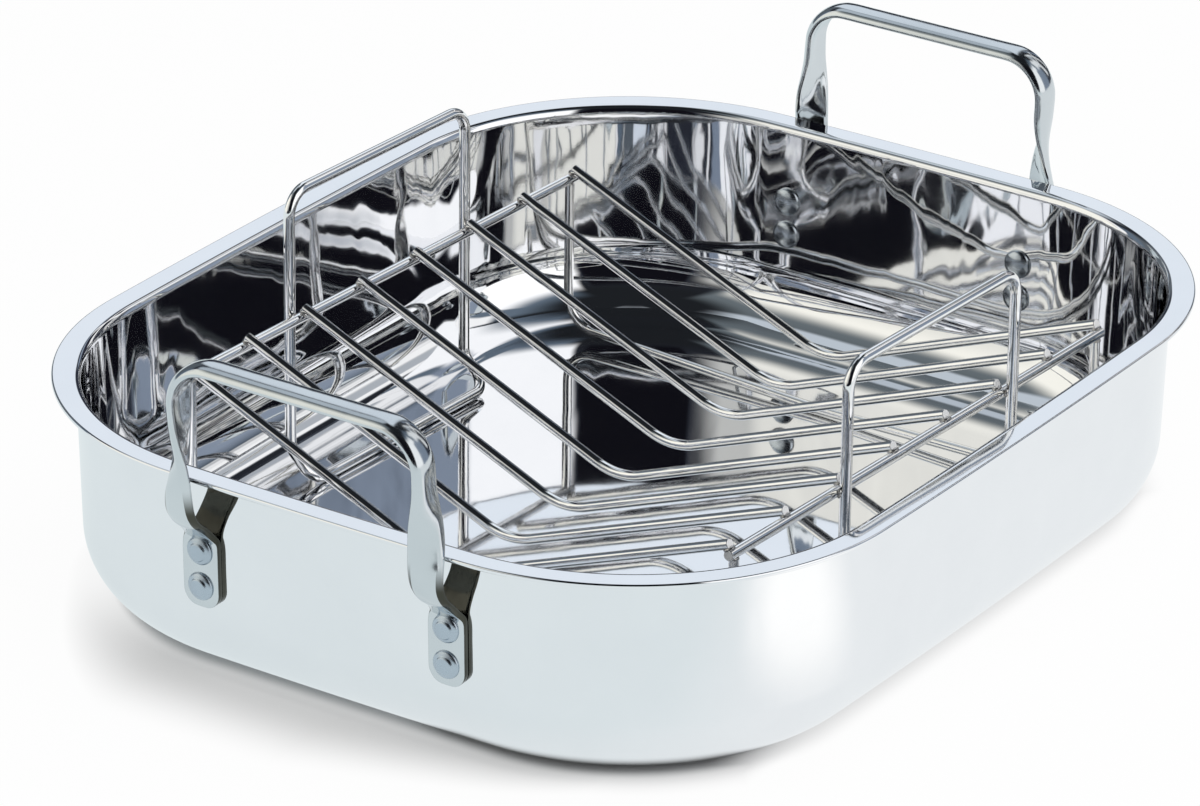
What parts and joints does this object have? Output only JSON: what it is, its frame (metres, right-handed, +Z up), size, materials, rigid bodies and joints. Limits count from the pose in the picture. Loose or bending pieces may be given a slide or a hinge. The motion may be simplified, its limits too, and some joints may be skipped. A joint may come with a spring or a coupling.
{
  "type": "roasting pan with rack",
  "caption": "Rectangular polished steel roasting pan with rounded corners, riveted strap handles and a lift-out V-shaped wire rack with lift loops.",
  "frame": {"origin": "under the middle of the pan, on the surface that it stands on", "axes": "+X from handle to handle, +Y across the pan, +Z up"},
  "size_m": [0.4516, 0.3594, 0.1437],
  "materials": {
    "pan_steel": "mirror polished inside, bright polished outside",
    "handle_steel": "polished",
    "rivet_steel": "polished",
    "rack_wire": "bright plated wire"
  },
  "bodies": {
    "pan": {"pan_body": "pan_steel", "handle_near": "handle_steel", "handle_far": "handle_steel", "rivet_near_left_upper": "rivet_steel", "rivet_near_left_lower": "rivet_steel", "rivet_near_right_upper": "rivet_steel", "rivet_near_right_lower": "rivet_steel", "rivet_far_left_upper": "rivet_steel", "rivet_far_left_lower": "rivet_steel", "rivet_far_right_upper": "rivet_steel", "rivet_far_right_lower": "rivet_steel"},
    "rack": {"v_wire_1": "rack_wire", "v_wire_2": "rack_wire", "v_wire_3": "rack_wire", "v_wire_4": "rack_wire", "v_wire_5": "rack_wire", "v_wire_6": "rack_wire", "v_wire_7": "rack_wire", "v_wire_8": "rack_wire", "rail_left": "rack_wire", "rail_right": "rack_wire", "end_frame_near": "rack_wire", "end_frame_far": "rack_wire", "lift_loop_left": "rack_wire", "lift_loop_right": "rack_wire"}
  },
  "joints": [
    {"name": "rack_lift", "type": "slide", "parent": "pan", "child": "rack", "axis": [0, 0, 1], "range_m": [0, 0.16]}
  ]
}
